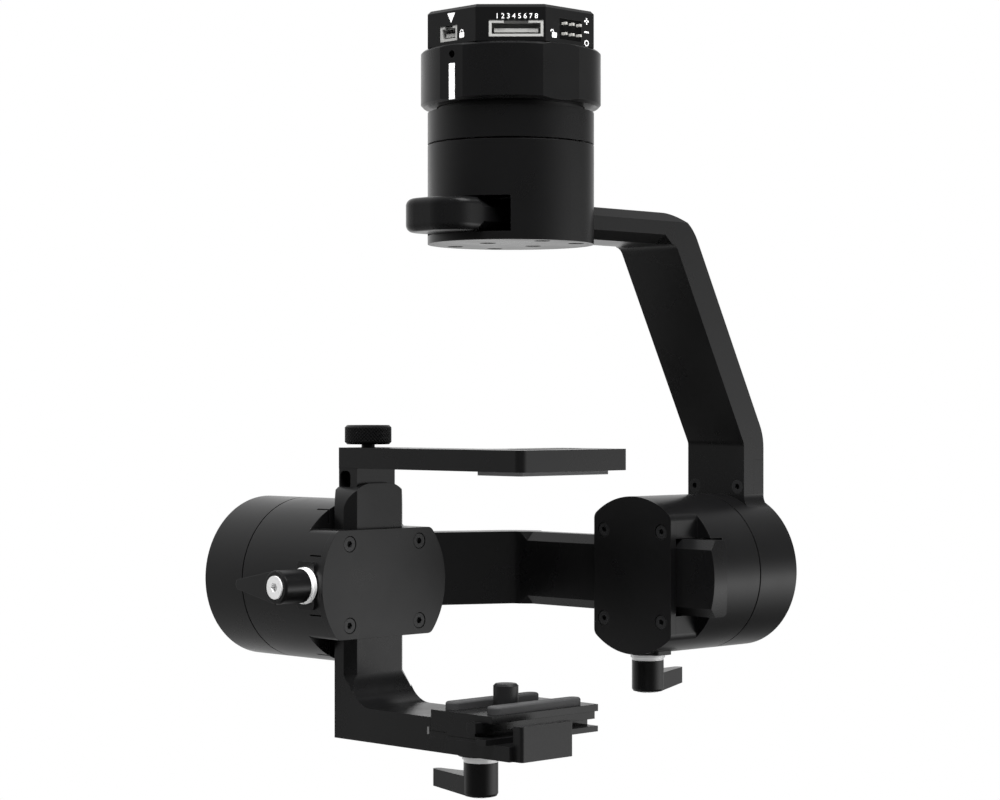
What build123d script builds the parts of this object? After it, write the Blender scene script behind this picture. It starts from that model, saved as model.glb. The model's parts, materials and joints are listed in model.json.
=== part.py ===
from build123d import *
import math
import os

# Three-axis camera gimbal that hangs under an aircraft. The origin is on the yaw axis, in the top face
# of the connector cap. +Z is up, the camera looks along -Y, and all sizes are in millimetres.
# Heights are mostly given from AXIS_Z, the height at which the roll and the tilt axis lie.

os.makedirs("parts", exist_ok=True)

# ---- driving dimensions: motors ----------------------------------------------------------------------
AXIS_Z = -142.6
MOTOR_R = 20.9            # outer radius of all three motors
SEAM_GAP = 0.45           # gap between the fixed and the turning half of a motor
REAR_LEN = 16.0           # length of the fixed half of the roll and tilt motors
BACK_WALL = 1.8
REAR_WALL = 1.6
TILT_Y = -19.5            # the tilt axis is parallel to X at this Y
TILT_SEAM_X = -56.8
TILT_FRONT = 29.3         # from the seam to the back of the end plate
ROLL_SEAM_Y = 72.7        # the roll axis is parallel to Y, at X = 0
ROLL_FRONT = 25.6
PLATE_T = 2.0             # end plate
CLAMP_HALF = 13.68        # half width over the flats of a clamp block
CLAMP_CORNER = 2.2
PLATE_SCREWS = (23.6, 20.4)   # end plate screw spacing across and along the bar

# ---- driving dimensions: motor internals, measured along the axis from the seam -----------------------
HUB_R = 5.0
BEARING_R = 3.5
BEARING_L = 2.5
SHAFT_R = 1.5
RUNNING_FIT = 0.05
POLE_R = 13.6             # outside of the stator
MAGNET_R = 14.3           # inside of the magnet ring
BORE_R = 16.0             # outside of the magnet ring
BORE_DEPTH = 12.0
HUB_REACH = 10.4          # how far the bearing hub reaches into the turning half
HUB_BACK = 8.0            # and how far it reaches back
BOARD_FAR = 12.0          # far face of the encoder board
BOARD_T = 1.2

# ---- driving dimensions: bars ------------------------------------------------------------------------
BAR_W = 20.0
BAR_T = 8.3
BAR_CHAMFER = 2.4
BAR_END_R = 7.0
FIT = 0.1                 # sliding clearance on each side
BEND_ANGLE = 27.9         # lean of a bar's slanting stretch from the straight foot, degrees
INNER_BEND_R = 3.0
OUTER_BEND_R = 13.0
CHAMFER_RUN_OUT = -60.0   # taper of the chamfers' ends, degrees
FOOT_LAP = 9.3            # length of the half-lap joint between a bar's foot and a motor
FOOT_BASE = 20.9          # distance of the foot's joint from the motor's axis
FOOT_FLARE_R = 3.8
FOOT_SCREWS = [(22.85, -7.6), (22.85, 7.6)]   # distance from the axis, and offset across the foot
ROLL_FOOT = -6.4          # front face of the yaw arm's foot, from the roll motor's seam
TILT_FOOT = -6.9          # front face of the roll arm's foot, from the tilt motor's seam

# ---- driving dimensions: screws and levers -----------------------------------------------------------
HEAD_R = 1.9              # M2 socket screws
HEAD_H = 1.2
HEAD_GAP = 0.15
SCREW_R = 1.0
LEVER_SEAT = 21.1         # distance of a clamp lever's seat from the motor's axis
SEAT_PAD = (6.6, 12.0)    # size of the raised pad under the lever
SEAT_SLIT = (4.4, 0.35, 7.4)  # length and width of the slits beside the pad, and their distance from it
LEVER_R = 4.25
LEVER_H = 8.2
LEVER_REACH = 16.4
LEVER_HOLE_R = 2.0
HUB_EDGE = 0.6            # height of the bevel around a lever's outer end
WASHER_R = 4.6
WASHER_T = 0.75
WASHER_STACK = 1.55       # two washers and the play under the lever
PLAY = 0.05

# ---- driving dimensions: yaw stack -------------------------------------------------------------------
YAW_SEAM_Z = AXIS_Z + 109.9
YAW_LOW_Z = AXIS_Z + 87.3
COVER_T = 2.0
NECK_Z = AXIS_Z + 118.2   # where the fixed housing narrows to the ring's sleeve
SLEEVE_Z = AXIS_Z + 133.5
SLEEVE_R = 18.3
SLEEVE_BORE = 15.4
LEDGE_BORE = 16.4
RING_R = 22.6
RING_LOW_Z = AXIS_Z + 119.5
RING_HIGH_Z = SLEEVE_Z - 0.2
CAP_ACROSS = 41.2
CAP_ROOF = 2.6
MOUNT_PCD = 26.0
MOUNT_HOLE_R = 1.25

# ---- working planes ----------------------------------------------------------------------------------
# Each motor's plane has its origin in the seam on the motor's axis. Its normal points from the fixed
# half into the turning half. In the roll and tilt planes the bar runs along y, and the lever is at -x.
yaw_axis = Plane(origin=(0, 0, YAW_SEAM_Z), x_dir=(1, 0, 0), z_dir=(0, 0, -1))
roll_axis = Plane(origin=(0, ROLL_SEAM_Y, AXIS_Z), x_dir=(0, 0, 1), z_dir=(0, -1, 0))
tilt_axis = Plane(origin=(TILT_SEAM_X, TILT_Y, AXIS_Z), x_dir=(0, 1, 0), z_dir=(1, 0, 0))
cage_side = Plane(origin=(0, TILT_Y, 0), x_dir=(1, 0, 0), z_dir=(0, -1, 0))


def save(builder, name):
    builder.part.label = name
    export_step(builder.part, "parts/" + name + ".step")


# ---- motor internals, the same in all three motors ---------------------------------------------------
def stator_core(axis_plane, name):
    with BuildPart() as core:
        with BuildSketch(axis_plane.offset(1.5)):
            Circle(7.2)
            with PolarLocations(9.4, 12):
                Rectangle(5.6, 2.0)
            with PolarLocations(POLE_R - 0.75, 12):
                Rectangle(1.5, 5.2)
            Circle(HUB_R, mode=Mode.SUBTRACT)
        extrude(amount=8.0)
    save(core, name + "_stator_core")


def coils(axis_plane, name):
    with BuildPart() as windings:
        with BuildSketch(axis_plane.offset(0.6)):
            with PolarLocations(9.7, 12):
                RectangleRounded(4.7, 3.3, 0.4)
        extrude(amount=9.8)
        with BuildSketch(axis_plane.offset(1.5)):
            with PolarLocations(9.4, 12):
                Rectangle(5.7, 2.0)
        extrude(amount=8.0, mode=Mode.SUBTRACT)
    save(windings, name + "_coils")


def bearings(axis_plane, name):
    with BuildPart() as pair:
        for start in (-5.0, HUB_REACH - 0.4 - BEARING_L):
            with BuildSketch(axis_plane.offset(start)):
                Circle(BEARING_R)
                Circle(SHAFT_R + RUNNING_FIT, mode=Mode.SUBTRACT)
            extrude(amount=BEARING_L)
    save(pair, name + "_bearings")


def magnets(axis_plane, name):
    with BuildPart() as ring:
        with BuildSketch(axis_plane.offset(1.0)):
            Circle(BORE_R)
            Circle(MAGNET_R, mode=Mode.SUBTRACT)
            with PolarLocations(BORE_R - 0.8, 14):
                Rectangle(3.0, 0.5, mode=Mode.SUBTRACT)
        extrude(amount=9.0)
    save(ring, name + "_magnets")


def shaft(axis_plane, name):
    # The shaft is seated in the turning half, and carries the encoder's magnet at its other end.
    with BuildPart() as rod:
        with BuildSketch(axis_plane.offset(-6.0)):
            Circle(SHAFT_R)
        extrude(amount=6.0 + BORE_DEPTH + 2.0)
        with BuildSketch(axis_plane.offset(-8.0)):
            Circle(2.6)
        extrude(amount=2.0)
    save(rod, name + "_shaft")


def encoder_board(axis_plane, name, board_r):
    with BuildPart() as board:
        with BuildSketch(axis_plane.offset(-BOARD_FAR)):
            Circle(board_r)
            with PolarLocations(board_r, 3):
                Circle(2.0, mode=Mode.SUBTRACT)
        extrude(amount=BOARD_T)
        with BuildSketch(axis_plane.offset(BOARD_T - BOARD_FAR)):
            Rectangle(5.0, 5.0)
            with Locations((9.0, 0)):
                Rectangle(4.0, 6.0)
        extrude(amount=0.9)
    save(board, name + "_encoder_board")


# ---- roll and tilt motors ----------------------------------------------------------------------------
def rear_housing(axis_plane, name, foot_front):
    # Cup with a closed back and a bearing hub. A flared saddle and a half-lap tongue carry the arm's foot.
    flare_x = math.sqrt((MOTOR_R + FOOT_FLARE_R) ** 2 - (BAR_W / 2 + FOOT_FLARE_R) ** 2)
    flare_y = (BAR_W / 2 + FOOT_FLARE_R) * MOTOR_R / (MOTOR_R + FOOT_FLARE_R)
    saddle_low = 12.0
    with BuildPart() as cup:
        with BuildSketch(axis_plane.offset(-REAR_LEN)):
            Circle(MOTOR_R)
        extrude(amount=REAR_LEN - SEAM_GAP)
        chamfer(cup.faces().sort_by(Axis(axis_plane.origin, axis_plane.z_dir))[0].edges(), 0.5)
        with BuildSketch(axis_plane.offset(foot_front - BAR_T)):
            with Locations(((saddle_low + FOOT_BASE) / 2, 0)):
                Rectangle(FOOT_BASE - saddle_low, 2 * flare_y)
            with Locations((flare_x, BAR_W / 2 + FOOT_FLARE_R), (flare_x, -BAR_W / 2 - FOOT_FLARE_R)):
                Circle(FOOT_FLARE_R, mode=Mode.SUBTRACT)
        extrude(amount=BAR_T)
        with BuildSketch(axis_plane.offset(foot_front - BAR_T)):
            with Locations((FOOT_BASE + FOOT_LAP / 2 - 1, 0)):
                Rectangle(FOOT_LAP + 2, BAR_W)
        extrude(amount=BAR_T / 2)
        with BuildSketch(axis_plane.offset(-REAR_LEN + BACK_WALL)):
            Circle(MOTOR_R - REAR_WALL)
        extrude(amount=REAR_LEN, mode=Mode.SUBTRACT)
        # web and hub for the two bearings
        with BuildSketch(axis_plane.offset(-3.0)):
            Circle(MOTOR_R - REAR_WALL / 2)
        extrude(amount=1.5)
        with BuildSketch(axis_plane.offset(-HUB_BACK)):
            Circle(HUB_R)
        extrude(amount=HUB_BACK + HUB_REACH)
        with BuildSketch(axis_plane.offset(-HUB_BACK)):
            Circle(BEARING_R)
        extrude(amount=HUB_BACK + HUB_REACH, mode=Mode.SUBTRACT)
        # posts that carry the encoder board
        with BuildSketch(axis_plane.offset(-REAR_LEN + BACK_WALL)):
            with PolarLocations(15.6, 3, start_angle=60):
                Circle(2.2)
        extrude(amount=REAR_LEN - BACK_WALL - BOARD_FAR)
        # tapped holes for the foot screws
        with BuildSketch(axis_plane.offset(foot_front - BAR_T / 2)):
            with Locations(*FOOT_SCREWS):
                Circle(SCREW_R)
        extrude(amount=-3.0, mode=Mode.SUBTRACT)
    save(cup, name + "_rear_housing")


def lever_seat(axis_plane, front_len, turn):
    # Seat of a clamp lever's washers. Its normal is the motor plane's -x, and its x is the way the
    # lever's finger points: along the motor's -z, turned by some degrees.
    middle = front_len - BAR_T / 2 - FIT
    origin = axis_plane.offset(middle).from_local_coords(Vector(-LEVER_SEAT, 0, 0))
    return Plane(origin=origin, x_dir=-axis_plane.z_dir, z_dir=-axis_plane.x_dir).rotated((0, 0, turn))


def front_housing(axis_plane, name, front_len):
    shoulder = front_len - BAR_T - 2 * FIT
    seat = lever_seat(axis_plane, front_len, 0)
    with BuildPart() as drum:
        with BuildSketch(axis_plane):
            Circle(MOTOR_R)
        extrude(amount=shoulder)
        with BuildSketch(axis_plane.offset(shoulder)) as block:
            Circle(MOTOR_R)
            Rectangle(3 * MOTOR_R, 2 * CLAMP_HALF, mode=Mode.INTERSECT)
            fillet(block.vertices(), CLAMP_CORNER)
        extrude(amount=front_len - shoulder)
        # lever seat
        with BuildSketch(seat):
            RectangleRounded(SEAT_PAD[0], SEAT_PAD[1], 1.2)
        extrude(amount=-1.7)
        with BuildSketch(seat):
            with Locations((-SEAT_SLIT[0] / 2, SEAT_SLIT[2]), (-SEAT_SLIT[0] / 2, -SEAT_SLIT[2])):
                Rectangle(SEAT_SLIT[0], SEAT_SLIT[1])
        extrude(amount=-3.0, mode=Mode.SUBTRACT)
        # slot for the bar, and relief slits beside its ends that let the jaws close
        with BuildSketch(axis_plane.offset(shoulder)):
            Rectangle(BAR_W + 2 * FIT, 3 * MOTOR_R)
        extrude(amount=front_len, mode=Mode.SUBTRACT)
        with BuildSketch(axis_plane.offset(shoulder - 4.4)):
            with GridLocations(BAR_W + 2 * FIT - 0.6, 2 * (MOTOR_R - 2.0), 2, 2):
                Rectangle(0.6, 8.0)
        extrude(amount=5.0, mode=Mode.SUBTRACT)
        # bore for the magnets, and the shaft's seat
        with BuildSketch(axis_plane):
            Circle(BORE_R)
        extrude(amount=BORE_DEPTH, mode=Mode.SUBTRACT)
        with BuildSketch(axis_plane.offset(BORE_DEPTH)):
            Circle(SHAFT_R)
        extrude(amount=2.0, mode=Mode.SUBTRACT)
        # tapped holes for the end plate's screws, and the hole for the lever's screw
        with BuildSketch(axis_plane.offset(front_len)):
            with GridLocations(PLATE_SCREWS[0], PLATE_SCREWS[1], 2, 2):
                Circle(SCREW_R)
        extrude(amount=-6.0, mode=Mode.SUBTRACT)
        with BuildSketch(seat):
            Circle(LEVER_HOLE_R + RUNNING_FIT)
        extrude(amount=-(LEVER_SEAT - BAR_W / 2), mode=Mode.SUBTRACT)
    save(drum, name + "_housing")


def end_plate(axis_plane, name, front_len):
    with BuildPart() as plate:
        with BuildSketch(axis_plane.offset(front_len)) as outline:
            Circle(MOTOR_R)
            Rectangle(3 * MOTOR_R, 2 * CLAMP_HALF, mode=Mode.INTERSECT)
            fillet(outline.vertices(), CLAMP_CORNER)
        extrude(amount=PLATE_T)
        with BuildSketch(axis_plane.offset(front_len)):
            with GridLocations(PLATE_SCREWS[0], PLATE_SCREWS[1], 2, 2):
                Circle(SCREW_R)
        extrude(amount=PLATE_T, mode=Mode.SUBTRACT)
        with BuildSketch(axis_plane.offset(front_len + PLATE_T)):
            with GridLocations(PLATE_SCREWS[0], PLATE_SCREWS[1], 2, 2):
                Circle(HEAD_R + HEAD_GAP)
        extrude(amount=-HEAD_H - HEAD_GAP, mode=Mode.SUBTRACT)
    save(plate, name + "_plate")


def socket_screws(head_plane, name, spots, shank):
    # The heads' tops lie in the plane, and the shanks reach behind it.
    with BuildPart() as screws:
        with BuildSketch(head_plane):
            with Locations(*spots):
                Circle(HEAD_R)
        extrude(amount=-HEAD_H)
        with BuildSketch(head_plane.offset(-HEAD_H)):
            with Locations(*spots):
                Circle(SCREW_R)
        extrude(amount=-shank)
        with BuildSketch(head_plane):
            with Locations(*spots):
                RegularPolygon(0.85, 6)
        extrude(amount=-0.8, mode=Mode.SUBTRACT)
    save(screws, name)


def plate_screws(axis_plane, name, front_len):
    half_x = PLATE_SCREWS[0] / 2
    half_y = PLATE_SCREWS[1] / 2
    spots = [(x, y) for x in (-half_x, half_x) for y in (-half_y, half_y)]
    socket_screws(axis_plane.offset(front_len + PLATE_T - HEAD_GAP), name + "_plate_screws", spots, 5.0)


# ---- clamp levers ------------------------------------------------------------------------------------
def clamp_lever(seat, name):
    # The lever turns about the seat's normal, and its finger points along the seat's x.
    base = WASHER_STACK
    tip = LEVER_REACH - 1.35
    with BuildPart() as lever:
        with BuildSketch(seat.offset(base)):
            with BuildLine():
                Polyline((0, -4.2), (tip, -1.35), (tip, 1.35), (0, 4.2), close=True)
            make_face()
            with Locations((tip, 0)):
                Circle(1.35)
        extrude(amount=LEVER_H)
        # the finger is thinner than the hub, and its outer face slopes down to the tip
        side = Plane(origin=seat.origin, x_dir=seat.x_dir, z_dir=-seat.y_dir)
        with BuildSketch(side):
            with BuildLine():
                Polyline((-1, base - 1), (-1, base + 3.4), (LEVER_REACH + 1, base + 3.2), (LEVER_REACH + 1, base - 1),
                         close=True)
            make_face()
            with BuildLine():
                Polyline((-1, base + LEVER_H + 1), (-1, base + 8.15), (LEVER_REACH + 1, base + 7.35),
                         (LEVER_REACH + 1, base + LEVER_H + 1), close=True)
            make_face()
        extrude(amount=LEVER_R + 1, both=True, mode=Mode.SUBTRACT)
        with BuildSketch(seat.offset(base)):
            Circle(LEVER_R)
        extrude(amount=LEVER_H - HUB_EDGE)
        with BuildSketch(seat.offset(base + LEVER_H - HUB_EDGE)):
            Circle(LEVER_R)
        extrude(amount=HUB_EDGE, taper=30)
        with BuildSketch(seat.offset(base)):
            Circle(LEVER_HOLE_R)
        extrude(amount=LEVER_H, mode=Mode.SUBTRACT)
        with BuildSketch(seat.offset(base + LEVER_H)):
            Circle(3.0)
        extrude(amount=-1.4, mode=Mode.SUBTRACT)
    save(lever, name)


def lever_hardware(seat, name, shank):
    # Clamp screw with its head in the lever's outer end, and the two washers under the lever.
    top = WASHER_STACK + LEVER_H
    with BuildPart() as hardware:
        with BuildSketch(seat.offset(top - 1.4)):
            Circle(2.9)
        extrude(amount=1.7)
        with BuildSketch(seat.offset(top + 0.3)):
            RegularPolygon(1.2, 6)
        extrude(amount=-1.0, mode=Mode.SUBTRACT)
        with BuildSketch(seat.offset(-shank)):
            Circle(LEVER_HOLE_R)
        extrude(amount=shank + top - 1.4)
        with BuildSketch(seat.offset(PLAY)):
            Circle(WASHER_R)
        extrude(amount=WASHER_T)
        with BuildSketch(seat.offset(PLAY + WASHER_T)):
            Circle(WASHER_R - 0.35)
        extrude(amount=WASHER_STACK - WASHER_T - PLAY)
    save(hardware, name + "_hardware")


# ---- yaw: cap, sockets, controller and fixed housing --------------------------------------------------
half_cap = CAP_ACROSS / 2
BUS_SHIFT = 1.35          # offset of the wide socket along the cap's diagonal face
BUS = (13.3, 4.0)
SERVO = (6.1, 3.8)
HEADER = (7.62, 5.08)
SOCKET_DEPTH = 4.6
diagonal = math.sqrt(0.5)
bus_face = Plane(origin=((half_cap + BUS_SHIFT) * diagonal, (BUS_SHIFT - half_cap) * diagonal, -6.0),
                 x_dir=(1, 1, 0), z_dir=(1, -1, 0))
servo_face = Plane(origin=(-1.0, -half_cap, -6.3), x_dir=(1, 0, 0), z_dir=(0, -1, 0))
header_face = Plane(origin=(half_cap, 0.1, -5.55), x_dir=(0, 1, 0), z_dir=(1, 0, 0))


def cap():
    with BuildPart() as shell:
        with BuildSketch(Plane.XY.offset(SLEEVE_Z)):
            RegularPolygon(half_cap / math.cos(math.radians(22.5)), 8, rotation=22.5)
        extrude(amount=-SLEEVE_Z)
        chamfer(shell.faces().sort_by(Axis.Z)[-1].edges(), 0.8)
        with BuildSketch(Plane.XY.offset(SLEEVE_Z)):
            Circle(17.0)
        extrude(amount=-SLEEVE_Z - CAP_ROOF, mode=Mode.SUBTRACT)
        for face, size in ((bus_face, BUS), (servo_face, SERVO), (header_face, HEADER)):
            with BuildSketch(face):
                Rectangle(size[0], size[1])
            extrude(amount=-5.0, mode=Mode.SUBTRACT)
        with BuildSketch(Plane.XY):
            with PolarLocations(MOUNT_PCD / 2, 4, start_angle=45):
                Circle(MOUNT_HOLE_R)
        extrude(amount=-CAP_ROOF, mode=Mode.SUBTRACT)
    save(shell, "cap")


def sockets():
    # Each socket has an open mouth, a tongue inside it, and a latch notch in its upper lip.
    with BuildPart() as shells:
        for face, (width, height) in ((bus_face, BUS), (servo_face, SERVO)):
            with BuildSketch(face.offset(-SOCKET_DEPTH)):
                Rectangle(width, height)
            extrude(amount=SOCKET_DEPTH - 0.1)
            with BuildSketch(face.offset(-0.1)):
                Rectangle(width - 1.4, height - 1.3)
            extrude(amount=-3.4, mode=Mode.SUBTRACT)
            with BuildSketch(face.offset(-3.5)):
                with Locations((0, -0.4)):
                    Rectangle(width - 2.6, 0.9)
            extrude(amount=2.6)
            with BuildSketch(face.offset(-0.1)):
                with Locations((0, height / 2)):
                    Rectangle(width * 0.45, 1.6)
            extrude(amount=-1.6, mode=Mode.SUBTRACT)
    save(shells, "cap_sockets")


def pin_header():
    pitch = 2.54
    pin = 0.64
    with BuildPart() as block:
        with BuildSketch(header_face.offset(-SOCKET_DEPTH)):
            Rectangle(HEADER[0], HEADER[1])
            with GridLocations(pitch, pitch, 3, 2):
                Rectangle(pin, pin, mode=Mode.SUBTRACT)
        extrude(amount=SOCKET_DEPTH - 0.2)
    save(block, "pin_header")
    with BuildPart() as pins:
        with BuildSketch(header_face.offset(-SOCKET_DEPTH - 0.6)):
            with GridLocations(pitch, pitch, 3, 2):
                Rectangle(pin, pin)
        extrude(amount=SOCKET_DEPTH + 1.8)
    save(pins, "header_pins")


def controller():
    board_z = SLEEVE_Z - 1.6
    with BuildPart() as board:
        with BuildSketch(Plane.XY.offset(board_z)):
            Circle(LEDGE_BORE - 0.1)
            with PolarLocations(MOUNT_PCD / 2, 4, start_angle=45):
                Circle(1.5, mode=Mode.SUBTRACT)
        extrude(amount=BOARD_T)
        with BuildSketch(Plane.XY.offset(board_z + BOARD_T)):
            Rectangle(7, 7)
            with Locations((-9, 0)):
                Rectangle(3, 5)
            with Locations((1, 8.5)):
                Rectangle(5, 4)
            with Locations((8, 3)):
                Rectangle(3, 3)
        extrude(amount=0.9)
    save(board, "controller_board")


def yaw_stator_housing():
    with BuildPart() as sleeve:
        with BuildSketch(Plane.XY.offset(YAW_SEAM_Z + SEAM_GAP)):
            Circle(MOTOR_R)
        extrude(amount=NECK_Z - YAW_SEAM_Z - SEAM_GAP)
        with BuildSketch(Plane.XY.offset(NECK_Z)):
            Circle(SLEEVE_R)
        extrude(amount=SLEEVE_Z - NECK_Z)
        with BuildSketch(Plane.XY.offset(YAW_SEAM_Z)):
            Circle(SLEEVE_BORE)
        extrude(amount=SLEEVE_Z - YAW_SEAM_Z, mode=Mode.SUBTRACT)
        # ledge for the controller board
        with BuildSketch(Plane.XY.offset(SLEEVE_Z)):
            Circle(LEDGE_BORE)
        extrude(amount=-1.6, mode=Mode.SUBTRACT)
        # web and hub for the two bearings
        with BuildSketch(Plane.XY.offset(YAW_SEAM_Z + 1.5)):
            Circle(SLEEVE_BORE + 1)
        extrude(amount=1.5)
        with BuildSketch(Plane.XY.offset(YAW_SEAM_Z - HUB_REACH)):
            Circle(HUB_R)
        extrude(amount=HUB_BACK + HUB_REACH)
        with BuildSketch(Plane.XY.offset(YAW_SEAM_Z - HUB_REACH)):
            Circle(BEARING_R)
        extrude(amount=HUB_BACK + HUB_REACH, mode=Mode.SUBTRACT)
        with BuildSketch(Plane.XY.offset(YAW_SEAM_Z + 3.0)):
            with PolarLocations(13.0, 3, start_angle=60):
                Circle(1.6)
        extrude(amount=BOARD_FAR - BOARD_T - 3.0)
    save(sleeve, "yaw_stator_housing")


# ---- lock ring ---------------------------------------------------------------------------------------
MARK_ANGLE = -85.7       # direction of the index mark about the yaw axis, degrees from +X
MARK_FLAT = 22.29         # distance of the mark's flat from the axis
GRIP_FLAT = 21.95         # distance of the finger flats from the axis
GRIP_ANGLES = [MARK_ANGLE + 75, MARK_ANGLE + 145, MARK_ANGLE + 215, MARK_ANGLE + 285]
MARK = (1.9, 8.8)
MARK_MIDDLE = -2.2        # middle of the mark and of the hole above it, from the middle of the ring
MARK_HOLE = 4.4
mark_dir = Vector(math.cos(math.radians(MARK_ANGLE)), math.sin(math.radians(MARK_ANGLE)), 0)
mark_face = Plane(origin=mark_dir * MARK_FLAT + Vector(0.2, 0, (RING_LOW_Z + RING_HIGH_Z) / 2),
                  x_dir=Vector(0, 0, 1).cross(mark_dir), z_dir=mark_dir)


def lock_ring():
    flats = [(MARK_ANGLE, MARK_FLAT)] + [(angle, GRIP_FLAT) for angle in GRIP_ANGLES]
    with BuildPart() as ring:
        with BuildSketch(Plane.XY.offset(RING_LOW_Z)):
            Circle(RING_R)
        extrude(amount=RING_HIGH_Z - RING_LOW_Z)
        chamfer(ring.edges().group_by(Axis.Z)[0], 0.7)
        chamfer(ring.edges().group_by(Axis.Z)[-1], 0.5)
        with BuildSketch(Plane.XY.offset(RING_LOW_Z)):
            for angle, distance in flats:
                with PolarLocations(distance + 2, 1, start_angle=angle):
                    Rectangle(4, 20)
            Circle(SLEEVE_R + 0.3)
        extrude(amount=RING_HIGH_Z - RING_LOW_Z, mode=Mode.SUBTRACT)
        with BuildSketch(mark_face):
            with Locations((0, MARK_MIDDLE)):
                Rectangle(MARK[0], MARK[1])
        extrude(amount=-0.5, mode=Mode.SUBTRACT)
        with BuildSketch(mark_face):
            with Locations((0, MARK_HOLE)):
                Circle(0.95)
        extrude(amount=-1.2, mode=Mode.SUBTRACT)
    save(ring, "lock_ring")
    with BuildPart() as mark:
        with BuildSketch(mark_face):
            with Locations((0, MARK_MIDDLE)):
                Rectangle(MARK[0], MARK[1])
        extrude(amount=-0.5)
    save(mark, "ring_mark")


# ---- yaw: turning housing, cover and arm -------------------------------------------------------------
HOUSING_SCREWS = [(14.5, 8.5), (-14.5, 8.5), (15.5, -4.5), (-15.5, -4.5)]
BAR_SCREWS = [(0, 8.0), (0, -8.0)]
YAW_SKIRT_R = 19.5        # inside of the wall around the yaw motor's cover
ARM_Y_TIP = -30.5
ARM_LOBE_Y = -20.2        # where the arm's rounded end meets the bar
LOBE_EDGE_R = 1.8
ARM_BEND_Y = 51.3
ARM_LOWER_BEND_Z = AXIS_Z + 34.6
ARM_FOOT_Y = ROLL_SEAM_Y - ROLL_FOOT
YAW_CHAMFER_Y = (-19.0, 47.0)   # the chamfered stretch of the yaw arm, along its underside
YAW_TOP_CHAMFER_END = 62.0      # the chamfers on top run out in the bend


def yaw_housing():
    with BuildPart() as drum:
        with BuildSketch(Plane.XY.offset(YAW_LOW_Z)):
            Circle(MOTOR_R)
        extrude(amount=YAW_SEAM_Z - YAW_LOW_Z)
        with BuildSketch(yaw_axis):
            Circle(BORE_R)
        extrude(amount=BORE_DEPTH, mode=Mode.SUBTRACT)
        with BuildSketch(yaw_axis.offset(BORE_DEPTH)):
            Circle(SHAFT_R)
        extrude(amount=2.0, mode=Mode.SUBTRACT)
        # channel for the arm, with a wider window at its front end
        with BuildSketch(Plane.XY.offset(YAW_LOW_Z)):
            Rectangle(BAR_W + 2 * FIT, 3 * MOTOR_R)
        extrude(amount=BAR_T + FIT, mode=Mode.SUBTRACT)
        with BuildSketch(Plane.XY.offset(YAW_LOW_Z)):
            with Locations((0, -MOTOR_R)):
                Rectangle(29.6, 22.0)
        extrude(amount=8.8, mode=Mode.SUBTRACT)
        with BuildSketch(Plane.XY.offset(YAW_LOW_Z)):
            with Locations(*HOUSING_SCREWS):
                Circle(SCREW_R)
        extrude(amount=6.0, mode=Mode.SUBTRACT)
        # wall around the cover
        with BuildSketch(Plane.XY.offset(YAW_LOW_Z)):
            Circle(MOTOR_R)
            Circle(YAW_SKIRT_R, mode=Mode.SUBTRACT)
        extrude(amount=-COVER_T)
    save(drum, "yaw_housing")


def yaw_cover():
    below = Plane(origin=(0, 0, YAW_LOW_Z), x_dir=(1, 0, 0), z_dir=(0, 0, -1))
    spots = [(x, -y) for x, y in HOUSING_SCREWS + BAR_SCREWS]
    with BuildPart() as cover:
        with BuildSketch(below):
            Circle(YAW_SKIRT_R - RUNNING_FIT)
            with Locations(*spots):
                Circle(SCREW_R, mode=Mode.SUBTRACT)
        extrude(amount=COVER_T)
        with BuildSketch(below.offset(COVER_T)):
            with Locations(*spots):
                Circle(HEAD_R + HEAD_GAP)
        extrude(amount=-HEAD_H - HEAD_GAP, mode=Mode.SUBTRACT)
    save(cover, "yaw_cover")
    socket_screws(below.offset(COVER_T - HEAD_GAP), "yaw_cover_screws", spots, 3.5)


def long_edge_planes(start, along, length, corners, outward):
    # Planes of the chamfers along a bar's long edges, from a point on each corner edge.
    planes = []
    for corner, normal in zip(corners, outward):
        direction = Vector(*normal).normalized()
        origin = Vector(*start) + Vector(*corner) + Vector(*along) * (length / 2)
        origin = origin - direction * (BAR_CHAMFER / math.sqrt(2))
        planes.append(Plane(origin=origin, x_dir=along, z_dir=direction))
    return planes


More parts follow.
